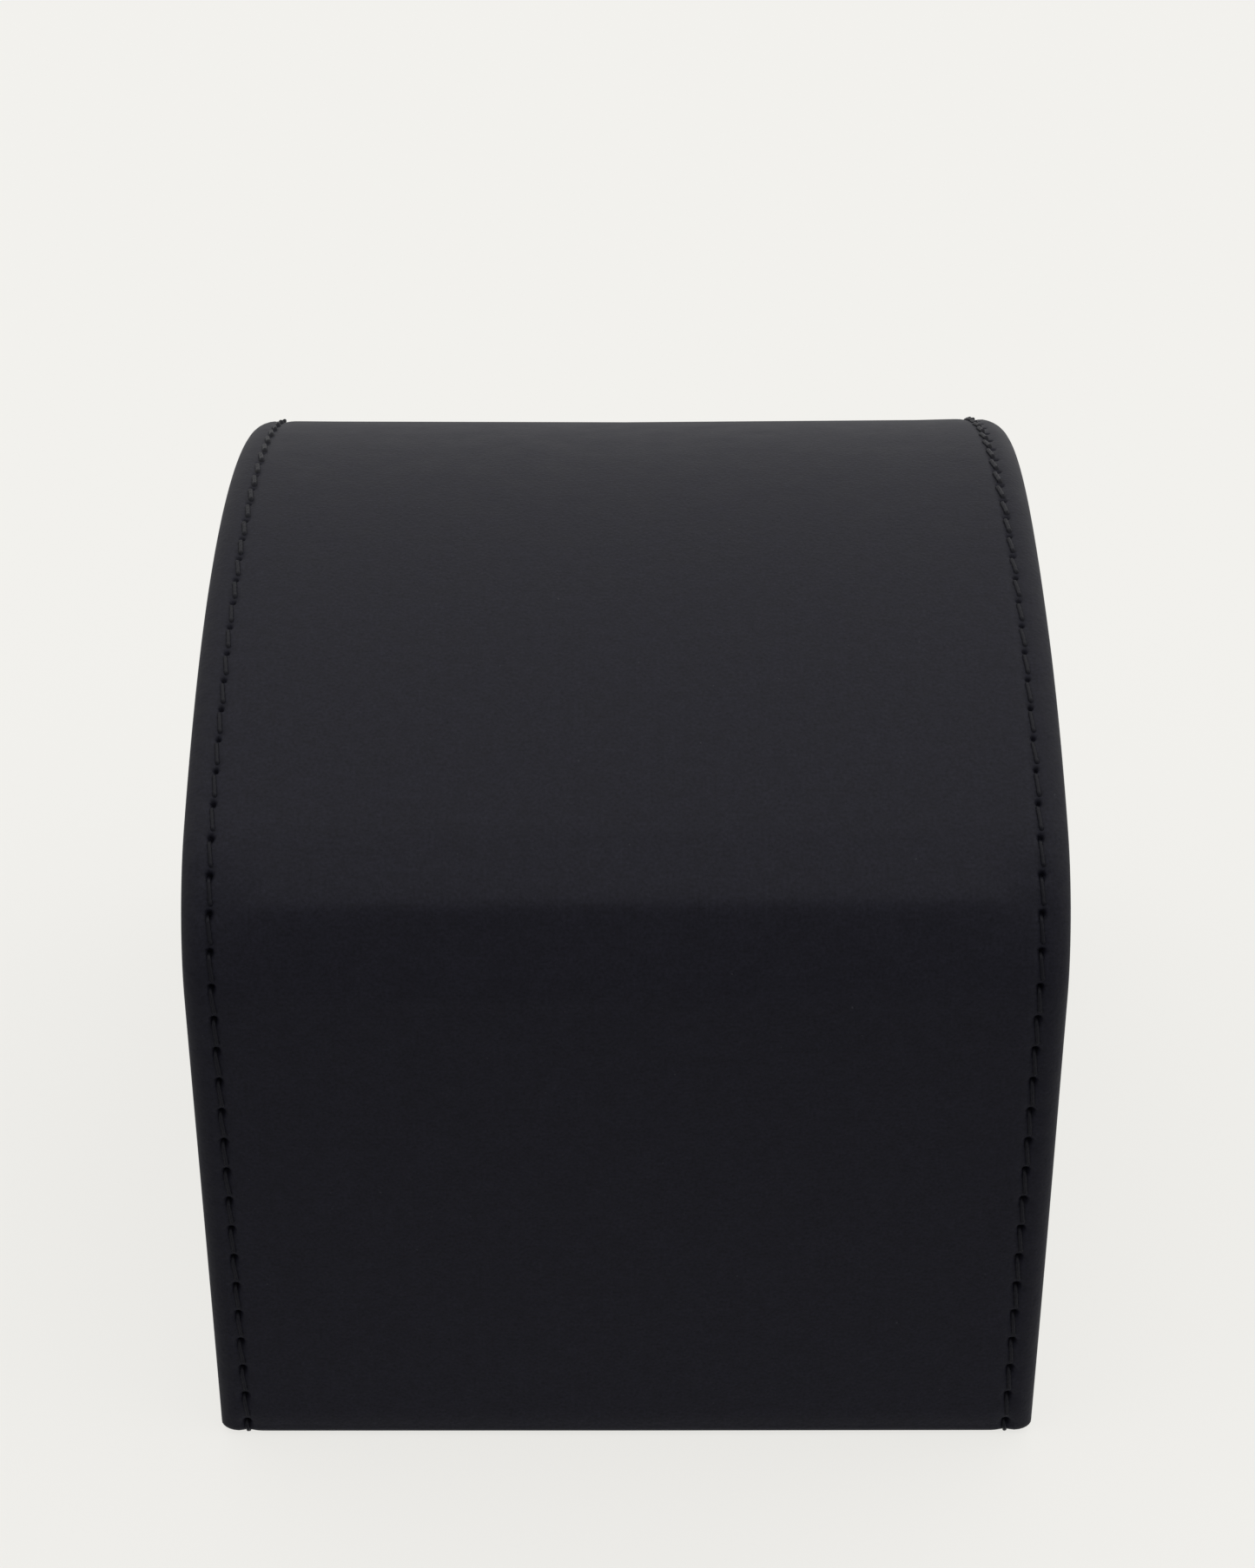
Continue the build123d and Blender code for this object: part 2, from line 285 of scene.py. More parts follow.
CREASE_RISE = 0.5 * MM
CREASE_SKEW = 0.4 * MM  # the fold climbs this much from the middle to the right seam
CREASE_SEED = 5
CREASE_WAVER = 0.1 * MM
CREASE_WAVE = 9 * MM
CREASE_FADE_LEFT = 9.5 * MM
CREASE_FADE_RIGHT = 9.0 * MM
WALL_LEAN = 0.12 * MM  # the leather runs in this much towards the base folds, and twice this at the sides
LEAN_RUN = 2.4 * MM
SLOW_SEED = 2
SLOW_DEPTH = 0.045 * MM
SLOW_ALONG = 11 * MM
SLOW_ACROSS = 13 * MM
SLOW_FADE = 6 * MM  # above the base folds
SAG_DEPTH = 0.35 * MM
SAG_PLACE = 0.75  # of the way over the dome
SAG_REACH = 30 * MM
CORNER_START = 0.6  # of the half width
CORNER_LIFT = 0.4 * MM  # the lid's right edge stands this much higher where the dome sags
seam_x = half_width - SEAM_INSET


def section():
    """The band's closed cross-section: x, inset, how much relief it takes, and which points are grain."""
    turn = np.linspace(0, math.pi / 2, EDGE_COLUMNS)
    edge_x = half_width + EDGE_BULGE - EDGE_REACH * (1 - np.cos(turn))
    edge_inset = EDGE_DROP * (1 - np.sin(turn))
    edge_weight = (turn / turn[-1]) ** 2
    close_x = np.arange(edge_x[-1] - SEAM_STEP, seam_x - SEAM_FIELD, -SEAM_STEP)
    wide_x = close_x[-1] - np.cumsum(WIDENING)
    field_x = spaced(wide_x[-1], 0, FIELD_STEP)[1:]
    flat_x = np.concatenate([close_x, wide_x, field_x])
    side_x = np.concatenate([edge_x, flat_x])
    side_inset = np.concatenate([edge_inset, np.zeros(len(flat_x))])
    side_weight = np.concatenate([edge_weight, np.ones(len(flat_x))])
    under = [
        (half_width - HEM_SET_BACK, EDGE_DROP + HEM_CORNER),
        (half_width - HEM_CORNER, hem_inset - HEM_EASE),
        (half_width - 2 * HEM_CORNER, hem_inset),
        (inner_x, hem_inset),
        (inner_x, leather),
    ]
    under_x = [-x for x, inset in under] + [x for x, inset in under[::-1]]
    under_inset = [inset for x, inset in under] + [inset for x, inset in under[::-1]]
    x = np.concatenate([side_x, -side_x[-2::-1], under_x])
    inset = np.concatenate([side_inset, side_inset[-2::-1], under_inset])
    weight = np.concatenate([side_weight, side_weight[-2::-1], np.zeros(len(under_x))])
    grain = np.arange(len(x)) < len(x) - len(under_x)
    return x, inset, weight, grain


def crease(arc, x):
    """How far the fold's ridge stands out: flat leather runs up to it and on from it."""
    climb = CREASE_RISE + CREASE_SKEW * x / seam_x + CREASE_WAVER * ripple(x / CREASE_WAVE, 0, CREASE_SEED)
    away = arc - fold_arc - climb
    away = np.sqrt(away**2 + CREASE_SOFTNESS**2) - CREASE_TIP
    ridge = CREASE_REACH**2 / (2 * SHOULDER_RADIUS)
    reach = np.clip(1 - away / CREASE_REACH, 0, 1) ** 2
    fade = smoothstep((seam_x + x) / CREASE_FADE_LEFT) * smoothstep((seam_x - x) / CREASE_FADE_RIGHT)
    return ridge * reach * fade


def on_lid(arc):
    """0 up to the rear of the dome, rising over it to 1 at its front, and 0 below the front shoulder."""
    place = np.mod(arc, loop_length)
    return smoothstep((place - wall_run - 2 * shoulder_run) / (dome_run / 2)) * (place < crown_run)


def seam_relief(arc, x, holes=True):
    """The valley that the thread pulls, its puckers and its needle holes."""
    away = np.mod(arc - SEAM_PHASE + STITCH_PITCH / 2, STITCH_PITCH) - STITCH_PITCH / 2
    across = np.abs(x) - seam_x
    pucker = (0.5 + 0.5 * np.cos(2 * math.pi * away / STITCH_PITCH)) * (1 - PUCKER_LOSS * on_lid(arc))
    relief = -np.exp(-((across / VALLEY_WIDTH) ** 2)) * (VALLEY_DEPTH + PUCKER * pucker)
    if holes:
        past_fold = smoothstep((np.mod(arc, loop_length) - fold_arc) / SHOULDER_RADIUS)
        tail = HOLE_TAIL - (HOLE_TAIL - HOLE_LENGTH) * past_fold
        length = np.where(away < 0, tail, HOLE_LENGTH)
        width = HOLE_WIDTH * (1 - HOLE_NARROWING * past_fold)
        relief = relief - HOLE_DEPTH * np.exp(-((away / length) ** 2) - (across / width) ** 2)
    return relief


def softness(arc, x):
    """Slow unevenness of leather over board, the dome's sag with its lifted corner, and the walls' lean
    into the base folds. The base stays flat."""
    slow = SLOW_DEPTH * ripple(arc / SLOW_ALONG, x / SLOW_ACROSS, SLOW_SEED)
    place = np.mod(arc, loop_length)
    front_foot = crown_run + wall_run
    upright = smoothstep(place / SLOW_FADE) * smoothstep((front_foot - place) / SLOW_FADE)
    sag_arc = wall_run + shoulder_run + SAG_PLACE * dome_run
    over_dome = np.exp(-(((place - sag_arc) / SAG_REACH) ** 2))
    foot = np.minimum(np.minimum(place, loop_length - place), np.abs(front_foot - place))
    lean = WALL_LEAN * (1 + (x / half_width) ** 2) * np.clip(1 - foot / LEAN_RUN, 0, 1) ** 2
    sag = SAG_DEPTH * over_dome * np.cos(math.pi * x / (2 * half_width))
    lift = CORNER_LIFT * over_dome * smoothstep((x / half_width - CORNER_START) / (1 - CORNER_START))
    return slow * upright - sag - lean + lift


def leather_strip(name, low, high, fine_from):
    """A length of the band, with its hems, as a closed mesh."""
    x, inset, weight, grain = section()
    turn = np.linspace(0, math.pi / 2, LIP_ROWS)
    lip = LIP_ROUNDING * (1 - np.cos(turn))
    lip_ease = LIP_ROUNDING * (1 - np.sin(turn))
    coarse = spaced(low + LIP_ROUNDING, fine_from, BASE_STEP)[1:-1]
    fine = spaced(fine_from, high - LIP_ROUNDING, ROW_STEP)[:-1]
    rows = np.concatenate([low + lip, coarse, fine, (high - lip)[::-1]])
    ease = np.concatenate([lip_ease, np.zeros(len(coarse) + len(fine)), lip_ease[::-1]])[:, None]
    arc, across = np.meshgrid(rows, x, indexing="ij")
    outward = (seam_relief(arc, across) + softness(arc, across)) * weight + crease(arc, across)
    depth = inset - outward + np.where(grain, ease, -ease)
    beyond_seam = np.abs(x) > seam_x
    waver = EDGE_WAVER * ripple(arc / WAVER_LENGTH, np.sign(across), WAVER_SEED)
    flare = smoothstep((arc - FLARE_START) / FLARE_RUN)
    flare = flare * smoothstep((crown_run + wall_run - arc) / wall_run)
    waver = waver + EDGE_FLARE * flare * (across > 0)
    across = across - np.sign(across) * (ease - waver) * beyond_seam
    y, z = inside_outline(arc, depth)
    points = np.stack([across, y, z], axis=-1).reshape(-1, 3)
    flat = np.stack([across, arc, np.zeros_like(arc)], axis=-1).reshape(-1, 3)
    wear = np.broadcast_to((1 - weight) * grain, arc.shape)
    return new_mesh(name, points, tube_faces(*arc.shape), flat, wear.ravel())


# ---- thread ----------------------------------------------------------------------------------------
THREAD_RADIUS = 0.21 * MM
THREAD_SLANT = 0.17 * MM
SLANT_SPREAD = (0.75, 1.2)
THREAD_SEED = 31
THREAD_SCATTER = 0.02 * MM
LIFT_SPREAD = (0.0, 0.25)  # shares of the radius
# Towards the lid's front the stitches stand higher, slant more and grow thicker by these shares
LID_LIFT = 0.4
LID_SLANT = 0.4
LID_SWELL = 0.2
THREAD_SIDES = 12
THREAD_STEPS = 18
THREAD_START = 0.09  # shares of the pitch, from one hole to the next
THREAD_SPAN = 0.89
THREAD_SINK = 0.75 * MM
THREAD_DIVE = 0.16  # share of a stitch at each end that runs down into its hole
DIVE_BEND = 0.6
DIVE_THINNING = 0.25
THREAD_KNOT = 0.08 * MM  # each stitch stands proud just above its lower hole
KNOT_PLACE = 0.15
KNOT_LENGTH = 0.08
THREAD_FLATNESS = 0.9
PLY_DEPTH = 0.1
PLY_TWIST = 2.2  # turns of the plies along one stitch
WORN_FLAT = 0.02 * MM  # under the base the thread is pressed flush


def thread_run(name, side, low, high):
    """The stitches of one seam whose holes lie between two arc lengths."""
    first = math.ceil((low - SEAM_PHASE) / STITCH_PITCH)
    last = math.floor((high - SEAM_PHASE) / STITCH_PITCH)
    share = np.linspace(0, 1, THREAD_STEPS)
    dive = 1 - np.minimum(1, np.minimum(share, 1 - share) / THREAD_DIVE) ** DIVE_BEND
    around = np.linspace(0, 2 * math.pi, THREAD_SIDES, endpoint=False)
    rng = np.random.default_rng(THREAD_SEED + side)
    points, faces, flat = [], [], []
    for number in range(first, last):
        start = SEAM_PHASE + number * STITCH_PITCH
        arc = start + STITCH_PITCH * (THREAD_START + THREAD_SPAN * share)
        slant = THREAD_SLANT * rng.uniform(*SLANT_SPREAD)
        middle = side * seam_x + slant * (1 + LID_SLANT * on_lid(arc)) * (1 - 2 * share)
        middle = middle + rng.normal(0, THREAD_SCATTER)
        surface = seam_relief(arc, middle, holes=False) + crease(arc, middle) + softness(arc, middle)
        proud = THREAD_RADIUS * (rng.uniform(*LIFT_SPREAD) + LID_LIFT * on_lid(arc))
        lift = surface + proud - THREAD_SINK * dive
        lift = lift + THREAD_KNOT * np.exp(-(((share - KNOT_PLACE) / KNOT_LENGTH) ** 2))
        plies = np.cos(2 * (around[None, :] + 2 * math.pi * PLY_TWIST * share[:, None]))
        swell = 1 + LID_SWELL * on_lid(arc) - DIVE_THINNING * dive
        radius = THREAD_RADIUS * (1 + PLY_DEPTH * plies) * swell[:, None]
        out = lift[:, None] + THREAD_FLATNESS * radius * np.sin(around)
        across = middle[:, None] + radius * np.cos(around)
        arcs = np.broadcast_to(arc[:, None], out.shape)
        y, z = inside_outline(arcs, -out)
        z = np.maximum(z, WORN_FLAT)
        base = len(points) * THREAD_STEPS * THREAD_SIDES
        points.append(np.stack([across, y, z], axis=-1).reshape(-1, 3))
        flat.append(np.stack([across, arcs, out], axis=-1).reshape(-1, 3))
        for face in tube_faces(THREAD_STEPS, THREAD_SIDES):
            faces.append([base + vertex for vertex in face])
    return new_mesh(name, np.concatenate(points), faces, np.concatenate(flat))


# ---- panels, linings and pads ----------------------------------------------------------------------
SHEET_STEP = 1.6 * MM
LID_SHEET_STEP = 1.2 * MM
SHEET_RIPPLE = 0.05 * MM
SHEET_WAVE = 9 * MM
CROWN_FULLNESS = 0.6  # below 1 the crown rises sooner from its edges
LID_SIDE_PLAY = 0.02 * MM  # keeps the lid's side sheets inside the outline
LINING_CROWN = 0.1 * MM
PANEL_CROWN = 0.3 * MM
PAD_CROWN = 0.35 * MM
PANEL_ROUNDING = 0.45 * MM
SUEDE_ROUNDING = 0.35 * MM
PAD_ROUNDING = 0.6 * MM


def fix_normals(piece):
    """Makes a closed mesh's faces look outward."""
    work = bmesh.new()
    work.from_mesh(piece.data)
    bmesh.ops.recalc_face_normals(work, faces=work.faces)
    work.to_mesh(piece.data)
    work.free()


def slab(name, low, high, step, rounding, front, back, crown, seed):
    """A sheet between two (u, v) corners. front and back turn (u, v) into its two faces, the front one
    with rounded edges and bowed out by crown."""
    us, ease_u = rounded_ends(low[0], high[0], step, rounding)
    vs, ease_v = rounded_ends(low[1], high[1], step, rounding)
    u, v = np.meshgrid(us, vs, indexing="ij")
    ease = np.minimum(np.hypot(ease_u[:, None], ease_v[None, :]), rounding)
    top = front(u, v)
    bottom = back(u, v)
    thick = np.linalg.norm(bottom - top, axis=-1, keepdims=True)
    inward = (bottom - top) / np.maximum(thick, 1e-9)
    bow_u = np.sin(math.pi * (u - low[0]) / (high[0] - low[0]))
    bow_v = np.sin(math.pi * (v - low[1]) / (high[1] - low[1]))
    bow = np.maximum(bow_u * bow_v, 0)
    lift = crown * bow**CROWN_FULLNESS + SHEET_RIPPLE * bow * ripple(u / SHEET_WAVE, v / SHEET_WAVE, seed)
    top = top + inward * (ease - lift)[..., None]
    rows, columns = u.shape
    count = rows * columns
    corner = np.arange(count).reshape(rows, columns)
    quads = np.stack([corner[:-1, :-1], corner[:-1, 1:], corner[1:, 1:], corner[1:, :-1]], axis=-1)
    faces = quads.reshape(-1, 4).tolist()
    faces += (quads.reshape(-1, 4)[:, ::-1] + count).tolist()
    rim = np.concatenate([corner[0, :-1], corner[:-1, -1], corner[-1, :0:-1], corner[:0:-1, 0]])
    after = np.roll(rim, -1)
    faces += np.stack([rim, rim + count, after + count, after], axis=-1).tolist()
    points = np.concatenate([top.reshape(-1, 3), bottom.reshape(-1, 3)])
    flat = np.stack([u, v, np.zeros_like(u)], axis=-1).reshape(-1, 3)
    wear = np.concatenate([(ease / rounding).ravel(), np.zeros(count)])
    piece = new_mesh(name, points, faces, np.concatenate([flat, flat]), wear)
    fix_normals(piece)
    return piece


def at(x, y, z):
    """Stacks coordinates into points."""
    return np.stack(np.broadcast_arrays(x, y, z), axis=-1)


def cup_side(name, seen_x, hidden_x, bottom, top, rounding, crown, seed):
    """An upright side sheet of the cup, as deep as the outline inside the hems."""
    def face(x):
        return lambda y, z: at(x, y / half_depth * wall_y(z, hem_inset), z)

    low, high = (-half_depth, bottom), (half_depth, top)
    return slab(name, low, high, SHEET_STEP, rounding, face(seen_x), face(hidden_x), crown, seed)


def lid_side(name, seen_x, hidden_x, bottom, rounding, crown, seed):
    """A side sheet of the lid, from a level edge up to the dome inside the hems."""
    reach = float(wall_y(np.array(bottom), hem_inset)) - LID_SIDE_PLAY

    def face(x):
        return lambda y, v: at(x, y, bottom + v / reach * (roof_z(y, hem_inset) - bottom))

    low, high = (-reach, 0), (reach, reach)
    return slab(name, low, high, LID_SHEET_STEP, rounding, face(seen_x), face(hidden_x), crown, seed)


def wrapped(name, low, high, seed):
    """A suede lining that follows the outline between two arc lengths."""
    def face(inset):
        return lambda x, arc: at(x, *inside_outline(arc, np.full(arc.shape, inset)))

    seen, hidden = face(lining_inset), face(board_inset)
    low, high = (-inner_x, low), (inner_x, high)
    return slab(name, low, high, SHEET_STEP, SUEDE_ROUNDING, seen, hidden, LINING_CROWN, seed)


# ---- rim facings -----------------------------------------------------------------------------------
RIM_SOFTNESS = 0.38 * MM
RIM_CORNER = 1.2 * MM
CORNER_STEPS = 6
STRAIGHT_STEPS = 24
ROUND_STEPS = 5
STRIP_SHARES = np.linspace(0.15, 0.97, 7)  # levels of the strip inside, from the rim to its foot
FOOT_SLOPE = 0.4 * MM


def rounded_rectangle(half_x, half_y, z):
    """Points round a rectangle with round corners, at height z, the same number whatever its size."""
    corners = []
    for sign_x, sign_y, start in ((1, 1, 0), (-1, 1, 90), (-1, -1, 180), (1, -1, 270)):
        turn = np.radians(np.linspace(start, start + 90, CORNER_STEPS))
        x = sign_x * (half_x - RIM_CORNER) + RIM_CORNER * np.cos(turn)
        y = sign_y * (half_y - RIM_CORNER) + RIM_CORNER * np.sin(turn)
        corners.append(at(x, y, z))
    ring = []
    for corner, following in zip(corners, corners[1:] + corners[:1]):
        share = np.linspace(0, 1, STRAIGHT_STEPS + 1)[1:-1, None]
        ring += [corner, corner[-1] + share * (following[0] - corner[-1])]
    return np.concatenate(ring)


def rim_facing(name, edge, base, foot):
    """Leather over a rim and down inside: edge is the rim's own height, base the cap's other face, and
    foot the height where the strip inside ends."""
    up = math.copysign(1, edge - base)
    stations = []
    for turn in np.linspace(0, math.pi / 2, ROUND_STEPS):
        back = RIM_SOFTNESS * (1 - math.cos(turn))
        down = up * RIM_SOFTNESS * (1 - math.sin(turn))
        stations.append((side_board_x - back, leather + back, edge - down))
    for turn in np.linspace(0, math.pi / 2, ROUND_STEPS):
        back = RIM_SOFTNESS * (1 - math.sin(turn))
        down = up * RIM_SOFTNESS * (1 - math.cos(turn))
        stations.append((inner_x + back, lining_inset - back, edge - down))
    for share in STRIP_SHARES:
        stations.append((inner_x, lining_inset, edge + share * (foot - edge)))
    stations.append((inner_x + FOOT_SLOPE, lining_inset - FOOT_SLOPE, foot))
    stations.append((side_lining_x, board_inset, foot))
    stations.append((side_lining_x, board_inset, base))
    stations.append((side_board_x, leather, base))
    rings = []
    for half_x, inset, z in stations:
        rings.append(rounded_rectangle(half_x, float(wall_y(np.array(z), inset)), z))
    points = np.stack(rings)
    count = points.shape[1]
    points = points.reshape(-1, 3)
    faces = tube_faces(len(rings), count, capped=False)
    last = (len(rings) - 1) * count
    for k in range(count):
        after = (k + 1) % count
        faces.append([last + k, last + after, after, k])
    piece = new_mesh(name, points, faces, points)
    fix_normals(piece)
    return piece


# ---- materials -------------------------------------------------------------------------------------
class Paint:
    """A material's node tree, with short ways to add what the materials here need."""

    def __init__(self, name, roughness, specular, sheen=0.0, metallic=0.0):
        self.material = bpy.data.materials.new(name)
        self.material.use_nodes = True
        self.tree = self.material.node_tree
        self.shader = self.tree.nodes["Principled BSDF"]
        self.shader.inputs["Roughness"].default_value = roughness
        self.shader.inputs["Specular IOR Level"].default_value = specular
        self.shader.inputs["Sheen Weight"].default_value = sheen
        self.shader.inputs["Sheen Roughness"].default_value = 0.5
        self.shader.inputs["Metallic"].default_value = metallic

    def node(self, kind, **settings):
        made = self.tree.nodes.new(kind)
        for key, value in settings.items():
            setattr(made, key, value)
        return made

    def link(self, source, target):
        self.tree.links.new(source, target)

    def on_pattern(self):
        """Where the surface is in its own flat pattern, in mm."""
        return self.node("ShaderNodeAttribute", attribute_name="pattern").outputs["Vector"]

    def in_part(self):
        """Where the surface is in the part, in mm."""
        scale = self.node("ShaderNodeVectorMath", operation="SCALE")
        self.link(self.node("ShaderNodeTexCoord").outputs["Object"], scale.inputs[0])
        scale.inputs["Scale"].default_value = 1 / MM
        return scale.outputs["Vector"]

    def stretched(self, place, factors):
        stretch = self.node("ShaderNodeVectorMath", operation="MULTIPLY")
        self.link(place, stretch.inputs[0])
        stretch.inputs[1].default_value = factors
        return stretch.outputs["Vector"]

    def noise(self, place, size, detail=3.0, rough=0.5):
        """Noise with features about size mm across."""
        made = self.node("ShaderNodeTexNoise")
        self.link(place, made.inputs["Vector"])
        made.inputs["Scale"].default_value = 1 / size
        made.inputs["Detail"].default_value = detail
        made.inputs["Roughness"].default_value = rough
        return made.outputs["Fac"]

    def cells(self, place, size):
        """Pebbles about size mm across."""
        made = self.node("ShaderNodeTexVoronoi")
        self.link(place, made.inputs["Vector"])
        made.inputs["Scale"].default_value = 1 / size
        return made.outputs["Distance"]

    def mix(self, share, first, second):
        """One colour turning into another. Each of the three is a socket or a plain value."""
        made = self.node("ShaderNodeMix", data_type="RGBA")
        sockets = (made.inputs[0], made.inputs[6], made.inputs[7])
        for socket, value in zip(sockets, (share, first, second)):
            if isinstance(value, bpy.types.NodeSocket):
                self.link(value, socket)
            else:
                socket.default_value = (*value, 1) if isinstance(value, tuple) else value
        return made.outputs[2]

    def scaled(self, colour, factor):
        """A colour made lighter or darker."""
        made = self.node("ShaderNodeVectorMath", operation="SCALE")
        self.link(colour, made.inputs[0])
        self.link(factor, made.inputs["Scale"])
        return made.outputs["Vector"]

    def range(self, value, low, high, to_low=0.0, to_high=1.0):
        """The value, with low to high stretched to another range."""
        made = self.node("ShaderNodeMapRange")
        self.link(value, made.inputs["Value"])
        limits = (low, high, to_low, to_high)
        for socket, limit in zip(list(made.inputs)[1:5], limits):
            socket.default_value = limit
        return made.outputs["Result"]

    def bump(self, *layers):
        """Adds bumps of (height, depth in mm), each over the one before."""
        normal = None
        for height, depth in layers:
            made = self.node("ShaderNodeBump")
            made.inputs["Distance"].default_value = depth * MM
            self.link(height, made.inputs["Height"])
            if normal:
                self.link(normal, made.inputs["Normal"])
            normal = made.outputs["Normal"]
        self.link(normal, self.shader.inputs["Normal"])


LEATHER_DARK = (0.0122, 0.0120, 0.0182)
LEATHER_LIGHT = (0.0142, 0.0140, 0.0210)
LEATHER_WORN = (0.0150, 0.0148, 0.0178)
DUST = (0.05, 0.052, 0.058)
THREAD_DARK = (0.0040, 0.0040, 0.0064)
THREAD_LIGHT = (0.0080, 0.0080, 0.0122)
SUEDE_DARK = (0.036, 0.036, 0.040)
SUEDE_LIGHT = (0.056, 0.056, 0.061)
SUEDE_SHADE = (0.020, 0.020, 0.022)
BOARD_DARK = (0.27, 0.25, 0.22)
BOARD_LIGHT = (0.42, 0.39, 0.345)
BOARD_FLECK = (0.12, 0.11, 0.10)
NICKEL_DARK = (0.56, 0.55, 0.53)
NICKEL_LIGHT = (0.68, 0.67, 0.65)


def leather_paint():
    """Smooth matte black calf: very fine grain, faint mottle, a few dust specks, edges slightly worn."""
    paint = Paint("leather_surface", roughness=0.6, specular=0.16)
    place = paint.on_pattern()
    mottle = paint.noise(place, 4.5, 4, 0.6)
    fine = paint.noise(place, 0.34, 4, 0.7)
    grain = paint.cells(place, 0.42)
    base = paint.mix(paint.range(mottle, 0.35, 0.65), LEATHER_DARK, LEATHER_LIGHT)
    cloud = paint.range(paint.noise(place, 1.3, 2), 0.35, 0.65, 0.92, 1.08)
    base = paint.scaled(base, cloud)
    base = paint.scaled(base, paint.range(fine, 0.32, 0.68, 0.58, 1.18))
    wear = paint.node("ShaderNodeAttribute", attribute_name="edge_wear").outputs["Fac"]
    rubbed = paint.node("ShaderNodeMath", operation="MULTIPLY")
    paint.link(wear, rubbed.inputs[0])
    paint.link(paint.range(paint.noise(place, 1.3, 3), 0.35, 0.7), rubbed.inputs[1])
    base = paint.mix(rubbed.outputs[0], base, LEATHER_WORN)
    dust = paint.range(paint.noise(place, 0.55, 1), 0.795, 0.82, 0, 0.6)
    base = paint.mix(dust, base, DUST)
    paint.link(base, paint.shader.inputs["Base Color"])
    paint.link(paint.range(mottle, 0.3, 0.7, 0.57, 0.63), paint.shader.inputs["Roughness"])
    paint.bump((paint.noise(place, 7, 2), 0.05), (grain, 0.02), (fine, 0.02))
    return paint.material


def thread_paint():
    """Waxed black thread: tight plies, slightly fuzzy."""
    paint = Paint("thread", roughness=0.47, specular=0.185)
    place = paint.on_pattern()
    fibre = paint.noise(paint.stretched(place, (1, 0.35, 1)), 0.07, 3, 0.6)
    base = paint.mix(paint.range(fibre, 0.3, 0.7), THREAD_DARK, THREAD_LIGHT)
    paint.link(base, paint.shader.inputs["Base Color"])
    paint.link(paint.range(fibre, 0.3, 0.7, 0.41, 0.55), paint.shader.inputs["Roughness"])
    paint.bump((fibre, 0.03))
    return paint.material


def suede_paint():
    """Charcoal suede with brushed patches and a short nap."""
    paint = Paint("suede", roughness=0.94, specular=0.1, sheen=0.08)
    place = paint.on_pattern()
    patches = paint.noise(place, 9, 3, 0.55)
    nap = paint.noise(paint.stretched(place, (1, 0.6, 1)), 0.16, 4, 0.7)
    base = paint.mix(paint.range(patches, 0.35, 0.65), SUEDE_DARK, SUEDE_LIGHT)
    base = paint.mix(paint.range(nap, 0.35, 0.7, 0, 0.6), base, SUEDE_SHADE)
    paint.link(base, paint.shader.inputs["Base Color"])
    paint.link(paint.range(nap, 0.3, 0.7, 0.88, 1), paint.shader.inputs["Roughness"])
    paint.bump((patches, 0.06), (nap, 0.05))
    return paint.material


def board_paint():
    """Uncoated greyboard with fibres and flecks."""
    paint = Paint("greyboard_surface", roughness=0.9, specular=0.25)
    place = paint.in_part()
    fibres = paint.noise(paint.stretched(place, (0.35, 1, 1)), 0.5, 5, 0.7)
    flecks = paint.noise(place, 0.9, 1)
    base = paint.mix(paint.range(fibres, 0.3, 0.7), BOARD_DARK, BOARD_LIGHT)
    base = paint.mix(paint.range(flecks, 0.68, 0.74, 0, 0.7), base, BOARD_FLECK)
    paint.link(base, paint.shader.inputs["Base Color"])
    paint.link(paint.range(fibres, 0.3, 0.7, 0.84, 0.96), paint.shader.inputs["Roughness"])
    paint.bump((fibres, 0.05))
    return paint.material


def magnet_paint():
    """Nickel plate with faint brushing."""
    paint = Paint("nickel", roughness=0.3, specular=0.5, metallic=1.0)
    place = paint.in_part()
    brushing = paint.noise(paint.stretched(place, (0.05, 1, 1)), 0.12, 3, 0.6)
    base = paint.mix(paint.range(brushing, 0.3, 0.7), NICKEL_DARK, NICKEL_LIGHT)
    paint.link(base, paint.shader.inputs["Base Color"])
    paint.link(paint.range(brushing, 0.3, 0.7, 0.24, 0.38), paint.shader.inputs["Roughness"])
    paint.bump((brushing, 0.004))
    return paint.material


leather_surface = leather_paint()
thread_surface = thread_paint()
suede_surface = suede_paint()
board_surface = board_paint()
magnet_surface = magnet_paint()


# ---- putting the pieces on their bodies ------------------------------------------------------------
def dress(piece, surface, slot, *nodes):
    """Gives a piece its material and hides the CAD nodes it stands for."""
    piece.data.materials.append(surface)
    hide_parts(*nodes)
    return piece


def across_hinge(piece):
    """Bakes the piece's placement into its mesh; the piece runs from the cup over the fold to the lid."""
    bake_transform(piece)


band = leather_strip("band_leather", base_seam_arc - loop_length, lid_lip_arc, 0.0)
dress(band, leather_surface, "leather", "rear_base_leather", "hinge_fold_leather", "lid_leather")
across_hinge(band)

front = leather_strip("front_panel_leather", cup_lip_arc, base_seam_arc, cup_lip_arc + LIP_ROUNDING)
dress(front, leather_surface, "leather", "front_leather")
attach(front, "cup")

